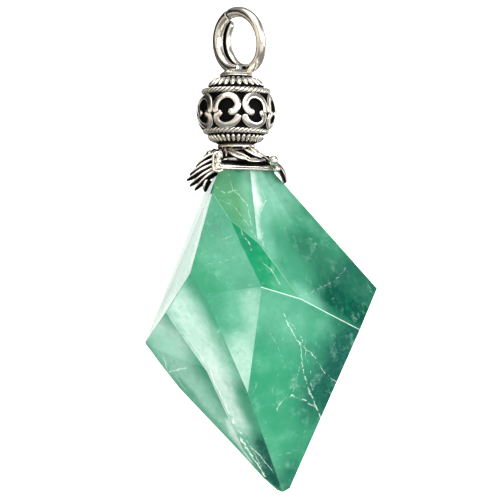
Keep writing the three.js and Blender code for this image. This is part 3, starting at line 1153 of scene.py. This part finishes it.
# Curls on the dish: points in the picture with their depth in millimetres, width in millimetres
CURLS = [
    ([(226, 149.5, -2.0), (231, 153.5, -3.0), (239, 157.5, -3.6), (248, 160.0, -3.5)], 0.75),
    ([(229, 149.0, -1.9), (236, 153.0, -2.8), (243, 155.5, -3.2), (251, 160.5, -3.6)], 0.35),
    ([(243, 148.5, -1.9), (248, 151.5, -2.3), (253, 154.5, -2.5), (262, 158.5, -2.6)], 0.6),
    ([(250, 148.5, -1.8), (255, 152.5, -2.0), (259, 155.0, -2.0), (263, 157.5, -2.2)], 0.55),
    ([(246, 160.5, -3.5), (252, 161.3, -3.3), (258, 161.4, -2.9), (265, 160.5, -2.1)], 0.6),
]
CURL_STEPS = 12
CURL_RISE = 0.3 * MM
CURL_ENDS = 0.3
CURL_UP = Vector((0.1, -0.75, 0.65)).normalized()
# Barbs of the feather leaf at the left: start and end in the picture with their depth, width in millimetres
BARBS = [
    ((215, 155, -1.8), (196, 168, -2.2), 0.75),
    ((216, 160, -2.2), (190, 175.5, -2.7), 0.85),
    ((217, 165, -2.6), (187, 181, -3.1), 0.9),
    ((217, 169, -3.0), (190, 186.5, -3.4), 0.85),
    ((217, 172, -3.4), (195, 190.5, -3.7), 0.75),
    ((209, 180, -3.6), (205, 192, -3.6), 0.9),
]
BARB_FACE = Vector((-0.4, -0.8, 0.45))
BARB_RIDGES = 1
BARB_ARCH = 0.25
BARB_THICKNESS = 0.3
# Broad leaves: root, tip, width in millimetres, the way that they face
LEAVES = {
    "cap_leaf_right": [((4.4, 0.9, -18.1), (6.0, 1.2, -20.5), 2.0, (0.85, -0.1, 0.5))],
    "cap_leaves_back": [
        ((2.9, 2.0, -17.8), (4.3, 4.2, -20.5), 2.4, (0.4, 0.7, 0.6)),
        ((-0.2, 1.9, -17.8), (-1.1, 4.0, -20.5), 2.6, (-0.3, 0.8, 0.6)),
    ],
}
BROAD_LEAF_RIDGES = 4
# Granules: centre and radius in millimetres
GRANULES = [
    ((4.62, -1.3, -17.75), 0.62),
    ((-3.22, 0.3, -16.95), 0.56),
    ((-2.0, -4.3, -17.3), 0.46),
    ((-2.15, -4.75, -18.02), 0.44),
    ((-2.25, -4.95, -18.75), 0.46),
    ((1.8, 2.9, -17.35), 0.46),
    ((2.1, 3.3, -18.05), 0.44),
    ((2.4, 3.7, -18.8), 0.46),
    ((5.0, -0.2, -18.75), 0.45),
]
GRANULE_AXES = ((1, 0, 0), (0, 0, 1), (0, -1, 0))
GRANULE_SIDES = 20
GRANULE_LEVELS = 14
# Granules are bright all round, so their polish starts below them
GRANULE_BASE = -1.2
# Wire beside the granules: points in the picture with their depth in millimetres
GRANULE_FRAME = [
    (222, 152.5, -4.2), (216, 152.5, -4.2), (213.4, 156, -4.5), (213.2, 162, -4.9), (213.4, 169, -5.3),
    (218, 171.5, -5.6), (223, 170, -5.6),
]
FRAME_STEPS = 10
FRAME_RADIUS = 0.15 * MM


def cup_point(planes, angle, height, wall):
    """A point of the cup's wall: it follows the facets at a distance, with round corners."""
    way = about_axis(1, angle, 0).xy
    total = CUP_RADIUS ** -CORNER_POWER
    for normal, distance in planes:
        facing = normal.xy.dot(way)
        if facing > LEAST_FACING:
            room = distance + wall - normal.xy.dot(CUP_MIDDLE) - normal.z * height * MM
            total += (room / facing / MM) ** -CORNER_POWER
    place = CUP_MIDDLE + way * (total ** (-1 / CORNER_POWER) * MM)
    return Vector((*place, height * MM))


class PENDANT_OT_cap(Operator):
    """Makes the cap: cup, rim, curled dish, leaves and granules"""

    bl_idname = "pendant.cap"
    bl_label = "Cap"

    def execute(self, context):
        settings = context.scene.pendant_cap
        oxidised = silver_of("relief_silver")
        self.cup(settings, oxidised)
        self.dish(settings, oxidised)
        self.leaves(oxidised)
        self.granules(oxidised)
        return {"FINISHED"}

    def cup(self, settings, material):
        planes = facet_planes()
        profile = [
            (height, settings.wall * wall + settings.rim * rim, shine)
            for height, wall, rim, shine in CUP_OUTSIDE
        ]
        profile += [(height, GLUE, shine) for height, shine in CUP_INSIDE]
        rows = [
            [cup_point(planes, TURN * index / CUP_SEGMENTS, height, out) for index in range(CUP_SEGMENTS)]
            for height, out, _ in profile
        ]
        shape = Shape()
        shape.rows(rows, [[shine] * CUP_SEGMENTS for _, _, shine in profile], loop=True)
        shape.piece("cap_cup", material, "cap")

    def dish(self, settings, material):
        shape = Shape()
        shape.turned(DISH_PROFILE, LARGE_SEGMENTS, DISH_POLISH)
        for points, width in CURLS:
            path = curve_through([seen_at(*point) for point in points], CURL_STEPS)
            for index in range(settings.swirls):
                turn = Matrix.Rotation(TURN * index / settings.swirls, 3, "Z")
                shape.relief(
                    [turn @ point for point in path], [turn @ CURL_UP] * len(path), width * MM, CURL_RISE,
                    lambda share: round_ends(share, CURL_ENDS),
                )
        shape.piece("cap_dish", material, "cap")

    def leaves(self, material):
        left = Shape()
        for start, end, width in BARBS:
            root, tip = seen_at(*start) / MM, seen_at(*end) / MM
            left.leaf(root, tip, width, BARB_FACE, BARB_RIDGES, BARB_ARCH, BARB_THICKNESS)
        left.piece("cap_leaf_left", material, "cap")
        for name, leaves in LEAVES.items():
            shape = Shape()
            for root, tip, width, face in leaves:
                shape.leaf(Vector(root), Vector(tip), width, Vector(face), BROAD_LEAF_RIDGES)
            shape.piece(name, material, "cap")

    def granules(self, material):
        shape = Shape()
        for centre, radius in GRANULES:
            axes = [Vector(axis) * radius * MM for axis in GRANULE_AXES]
            shape.blob(Vector(centre) * MM, axes, GRANULE_SIDES, GRANULE_LEVELS, GRANULE_BASE)
        frame_path = curve_through([seen_at(*point) for point in GRANULE_FRAME], FRAME_STEPS)
        shape.wire(frame_path, FRAME_RADIUS, WIRE_SIDES)
        shape.piece("cap_granules", material, "cap")


# Stage

# The floor that bends up into a backdrop, and the wall round it, in metres
SWEEP_BACK = 0.9
SWEEP_FRONT = -1.6
SWEEP_BEND = 0.7
SWEEP_STEPS = 24
SWEEP_WIDTH = 7
SWEEP_RISE = 2.2
WALL_RADIUS = 1.5
WALL_STEPS = 64
PAPER_GRAIN = 4.0
PAPER_SHADE = 0.98
PAPER_ROUGHNESS = 0.9
# Cards that the silver mirrors: degrees to the left of the front, distance, lift, width and height in metres,
# colour, own light
CARDS = {
    "card_ring": (98, 0.045, 0.0135, 0.08, 0.038, (0.002, 0.002, 0.002), 0.0),
    "card_dark": (130, 0.42, 0.03, 0.26, 0.6, (0.002, 0.002, 0.002), 0.0),
    "card_beige": (66, 0.42, 0.05, 0.6, 0.5, (0.42, 0.38, 0.32), 0.85),
    "card_pale": (159, 0.42, 0.02, 0.14, 0.3, (0.8, 0.8, 0.8), 0.8),
    "card_pale_right": (-128, 0.42, 0.02, 0.26, 0.4, (0.6, 0.58, 0.55), 0.7),
    "card_low": (-10, 0.42, -0.3, 0.8, 0.24, (0.75, 0.72, 0.68), 0.8),
}
# Soft lamps: place, size in metres, power in watts, colour
LAMPS = {
    "front": ((0.1, -0.6, 0.08), 0.56, 1.6, (1.0, 0.98, 0.94)),
    "right": ((0.53, -0.28, 0.012), 0.36, 2.1, (1.0, 1.0, 1.0)),
    "top": ((-0.02, -0.3, 0.6), 0.75, 3.2, (1.0, 1.0, 1.0)),
}
LAMP_TARGET = Vector((0.002, 0, -0.03))
CLIP_START = 0.01


def paper(name, colour, light):
    """Matt card or floor with a fine grain, that may give some light of its own."""
    finish = Finish(name)
    grain = finish.noise(PAPER_GRAIN)
    tint = finish.mix(rgba(colour), rgba(part * PAPER_SHADE for part in colour), grain)
    return finish.surface(finish.node("ShaderNodeBsdfPrincipled", None, {
        "Base Color": tint, "Roughness": PAPER_ROUGHNESS, "Emission Color": tint, "Emission Strength": light,
    }))


def floor_level(settings):
    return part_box("stone")[0].z - settings.drop


def hide_from(made, *rays):
    """Hides a thing of the stage from some kinds of rays."""
    for ray in rays:
        setattr(made, "visible_" + ray, False)


def stage_mesh(name, points, faces, material):
    """A mesh that belongs to the stage and not to the pendant."""
    mesh = bpy.data.meshes.new(name)
    mesh.from_pydata(points, [], faces)
    mesh.shade_smooth()
    mesh.materials.append(material)
    made = bpy.data.objects.new(name, mesh)
    bpy.context.scene.collection.objects.link(made)
    return made


class PENDANT_OT_stage(Operator):
    """Makes the pale floor, the soft light, the cards that the silver mirrors, and the camera"""

    bl_idname = "pendant.stage"
    bl_label = "Stage"

    def execute(self, context):
        scene = context.scene
        settings = scene.pendant_stage
        self.surroundings(scene, settings)
        self.sweep(settings)
        self.wall(settings)
        for name, (azimuth, distance, lift, width, height, colour, light) in CARDS.items():
            turn = math.radians(azimuth)
            place = Vector((-distance * math.sin(turn), -distance * math.cos(turn), lift))
            self.card(name, paper(name, colour, light), place, width, height)
        for name, lamp in LAMPS.items():
            self.lamp(name, *lamp)
        self.camera(scene)
        scene.view_settings.view_transform = "Standard"
        return {"FINISHED"}

    @staticmethod
    def sweep(settings):
        """A pale floor that bends up into a backdrop."""
        level = floor_level(settings)
        bend = SWEEP_BACK - SWEEP_BEND
        profile = [(SWEEP_FRONT, level), (bend, level)]
        for step in range(1, SWEEP_STEPS + 1):
            turn = math.pi / 2 * step / SWEEP_STEPS
            profile.append((bend + SWEEP_BEND * math.sin(turn), level + SWEEP_BEND * (1 - math.cos(turn))))
        profile.append((SWEEP_BACK, level + SWEEP_RISE))
        points = [(side * SWEEP_WIDTH / 2, y, z) for y, z in profile for side in (-1, 1)]
        faces = [(2 * i, 2 * i + 1, 2 * i + 3, 2 * i + 2) for i in range(len(profile) - 1)]
        floor = stage_mesh("floor", points, faces, paper("pale_floor", settings.floor, settings.floor_light))
        hide_from(floor, "glossy")

    @staticmethod
    def wall(settings):
        """A pale wall all round, which the camera alone sees."""
        level = floor_level(settings)
        points = []
        faces = []
        for step in range(WALL_STEPS):
            turn = TURN * step / WALL_STEPS
            place = (WALL_RADIUS * math.cos(turn), WALL_RADIUS * math.sin(turn))
            points.extend([(*place, level), (*place, level + SWEEP_RISE)])
            beside = (step + 1) % WALL_STEPS
            faces.append((2 * step, 2 * beside, 2 * beside + 1, 2 * step + 1))
        wall = stage_mesh("wall", points, faces, paper("pale_wall", settings.floor, settings.floor_light))
        hide_from(wall, "diffuse", "glossy", "transmission", "shadow")

    @staticmethod
    def surroundings(scene, settings):
        world = bpy.data.worlds.new("white_room")
        world.use_nodes = True
        back = world.node_tree.nodes["Background"]
        back.inputs["Color"].default_value = (1, 1, 1, 1)
        back.inputs["Strength"].default_value = settings.sky
        scene.world = world

    @staticmethod
    def card(name, material, centre, width, height):
        turn = Vector((-centre.x, -centre.y, 0)).to_track_quat("Z", "Y")
        sides = ((-1, -1), (1, -1), (1, 1), (-1, 1))
        corners = [Vector((x * width / 2, y * height / 2, 0)) for x, y in sides]
        for corner in corners:
            corner.rotate(turn)
        card = stage_mesh(name, [centre + corner for corner in corners], [(0, 1, 2, 3)], material)
        hide_from(card, "camera", "shadow", "diffuse", "transmission")

    @staticmethod
    def lamp(name, place, size, power, colour):
        light = bpy.data.lights.new(name, "AREA")
        light.color = colour
        light.size = size
        light.energy = power
        made = bpy.data.objects.new(name, light)
        made.location = place
        made.rotation_euler = (LAMP_TARGET - made.location).to_track_quat("-Z", "Y").to_euler()
        hide_from(made, "transmission")
        bpy.context.scene.collection.objects.link(made)

    @staticmethod
    def camera(scene):
        lens = bpy.data.cameras.new("camera")
        lens.sensor_width = SENSOR_WIDTH
        lens.lens = SENSOR_WIDTH * -VIEWER.y / (PICTURE_WIDTH * PIXEL)
        lens.clip_start = CLIP_START
        made = bpy.data.objects.new("camera", lens)
        made.location = VIEWER
        made.rotation_euler = (math.radians(90), 0, 0)
        scene.collection.objects.link(made)
        scene.camera = made


class PENDANT_PT_build(Panel):
    """Lists the steps that build the pendant"""

    bl_idname = "PENDANT_PT_build"
    bl_label = "Fluorite pendant"
    bl_space_type = "VIEW_3D"
    bl_region_type = "UI"
    bl_category = "Pendant"

    def draw(self, context):
        for step in STEPS:
            self.layout.operator(step.bl_idname)
        for name in SETTINGS:
            box = self.layout.box()
            group = getattr(context.scene, name)
            for key in group.__annotations__:
                box.prop(group, key)


STEPS = (
    PENDANT_OT_stage, PENDANT_OT_ring, PENDANT_OT_bead, PENDANT_OT_neck, PENDANT_OT_cap, PENDANT_OT_stone,
)
SETTINGS = {
    "pendant_stone": StoneSettings,
    "pendant_silver": SilverSettings,
    "pendant_ring": RingSettings,
    "pendant_bead": BeadSettings,
    "pendant_cap": CapSettings,
    "pendant_stage": StageSettings,
}


def register():
    for group in SETTINGS.values():
        bpy.utils.register_class(group)
    for name, group in SETTINGS.items():
        setattr(bpy.types.Scene, name, PointerProperty(type=group))
    for step in STEPS:
        bpy.utils.register_class(step)
    bpy.utils.register_class(PENDANT_PT_build)


def unregister():
    bpy.utils.unregister_class(PENDANT_PT_build)
    for step in reversed(STEPS):
        bpy.utils.unregister_class(step)
    for name, group in reversed(SETTINGS.items()):
        delattr(bpy.types.Scene, name)
        bpy.utils.unregister_class(group)


def main():
    register()
    for step in STEPS:
        group, name = step.bl_idname.split(".")
        getattr(getattr(bpy.ops, group), name)()


if __name__ == "__main__":
    main()
